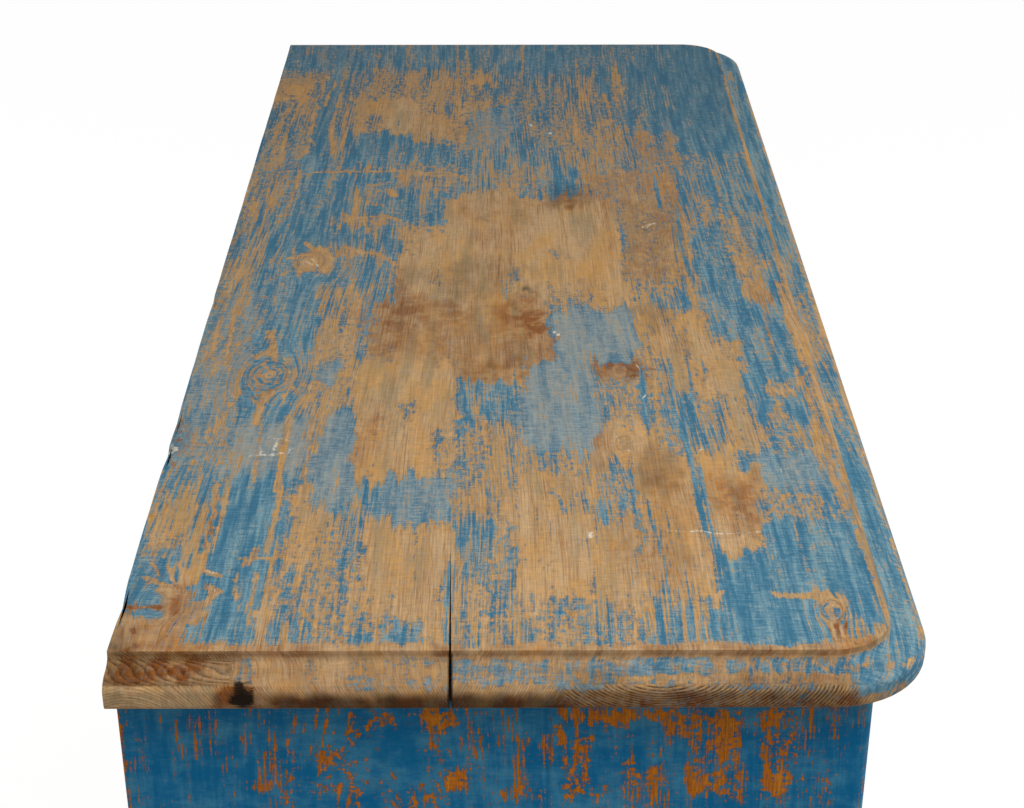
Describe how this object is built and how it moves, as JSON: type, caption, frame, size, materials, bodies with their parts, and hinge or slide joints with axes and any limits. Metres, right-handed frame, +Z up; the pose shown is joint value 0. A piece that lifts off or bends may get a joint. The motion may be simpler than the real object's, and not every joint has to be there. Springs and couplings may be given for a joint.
{
  "type": "painted cupboard",
  "caption": "Low painted pine cupboard with a moulded, round-cornered top, drawers over framed and panelled doors with locks, and a plinth on turned feet.",
  "frame": {"origin": "on the floor, under the middle of the top", "axes": "+X along the front, to the right as seen from the front; +Y from the front to the back; +Z up"},
  "size_m": [1.22, 0.5, 0.92],
  "materials": {
    "worn_top_paint": "old matt blue paint, worn through to oiled pine",
    "blue_paint": "old matt blue paint on pine, flaked along the grain",
    "bare_pine": "planed pine, bare and darkened with age",
    "pegs_pine": "riven pine pegs, cut flush and painted over",
    "black_iron": "hand-forged iron, blackened and slightly rusted",
    "aged_brass": "pressed brass, darkened with age"
  },
  "bodies": {
    "cupboard": {"top_rear_board": "worn_top_paint", "top_front_board": "worn_top_paint", "side_left_front_board": "blue_paint", "side_left_rear_board": "blue_paint", "side_right_front_board": "blue_paint", "side_right_rear_board": "blue_paint", "stile_left": "blue_paint", "stile_right": "blue_paint", "top_rail": "blue_paint", "drawer_rail": "blue_paint", "bottom_rail": "blue_paint", "drawer_muntin": "blue_paint", "door_muntin": "blue_paint", "back_boards": "bare_pine", "bottom_board": "bare_pine", "shelf": "bare_pine", "shelf_battens": "bare_pine", "drawer_runners": "bare_pine", "kickers": "bare_pine", "plinth_front": "blue_paint", "plinth_left": "blue_paint", "plinth_right": "blue_paint", "plinth_back": "bare_pine", "turned_feet": "blue_paint", "case_hinges_left": "black_iron", "case_hinges_right": "black_iron"},
    "door_left": {"door_left_hinge_stile": "blue_paint", "door_left_lock_stile": "blue_paint", "door_left_top_rail": "blue_paint", "door_left_bottom_rail": "blue_paint", "door_left_panel": "blue_paint", "door_left_pegs": "pegs_pine", "door_left_hinge_leaves": "black_iron", "door_left_escutcheon": "aged_brass", "door_left_lock_case": "black_iron"},
    "bolt_left": {"door_left_bolt": "black_iron"},
    "key_left": {"door_left_key": "black_iron"},
    "drawer_left": {"drawer_left_front": "blue_paint", "drawer_left_outer_side": "bare_pine", "drawer_left_inner_side": "bare_pine", "drawer_left_back": "bare_pine", "drawer_left_bottom": "bare_pine", "drawer_left_knob": "blue_paint"},
    "door_right": {"door_right_hinge_stile": "blue_paint", "door_right_lock_stile": "blue_paint", "door_right_top_rail": "blue_paint", "door_right_bottom_rail": "blue_paint", "door_right_panel": "blue_paint", "door_right_pegs": "pegs_pine", "door_right_hinge_leaves": "black_iron", "door_right_escutcheon": "aged_brass", "door_right_lock_case": "black_iron"},
    "bolt_right": {"door_right_bolt": "black_iron"},
    "key_right": {"door_right_key": "black_iron"},
    "drawer_right": {"drawer_right_front": "blue_paint", "drawer_right_outer_side": "bare_pine", "drawer_right_inner_side": "bare_pine", "drawer_right_back": "bare_pine", "drawer_right_bottom": "bare_pine", "drawer_right_knob": "blue_paint"}
  },
  "joints": [
    {"name": "door_left_hinge", "type": "hinge", "parent": "cupboard", "child": "door_left", "pos_m": [-0.509, -0.2223, 0.429], "axis": [0, 0, -1], "range_deg": [0, 165]},
    {"name": "key_left_turn", "type": "hinge", "parent": "door_left", "child": "key_left", "pos_m": [-0.068, -0.2362, 0.459], "axis": [0, 1, 0], "range_deg": [0, 360]},
    {"name": "bolt_left_slide", "type": "slide", "parent": "door_left", "child": "bolt_left", "axis": [1, 0, 0], "range_m": [0, 0.012]},
    {"name": "drawer_left_slide", "type": "slide", "parent": "cupboard", "child": "drawer_left", "axis": [0, -1, 0], "range_m": [0, 0.33]},
    {"name": "door_right_hinge", "type": "hinge", "parent": "cupboard", "child": "door_right", "pos_m": [0.509, -0.2223, 0.429], "axis": [0, 0, 1], "range_deg": [0, 165]},
    {"name": "key_right_turn", "type": "hinge", "parent": "door_right", "child": "key_right", "pos_m": [0.068, -0.2362, 0.459], "axis": [0, -1, 0], "range_deg": [0, 360]},
    {"name": "bolt_right_slide", "type": "slide", "parent": "door_right", "child": "bolt_right", "axis": [-1, 0, 0], "range_m": [0, 0.012]},
    {"name": "drawer_right_slide", "type": "slide", "parent": "cupboard", "child": "drawer_right", "axis": [0, -1, 0], "range_m": [0, 0.33]}
  ],
  "couplings": [
    {"joint": "key_left_turn", "follows": "bolt_left_slide", "rad_per_m": 523.59},
    {"joint": "key_right_turn", "follows": "bolt_right_slide", "rad_per_m": 523.59}
  ]
}
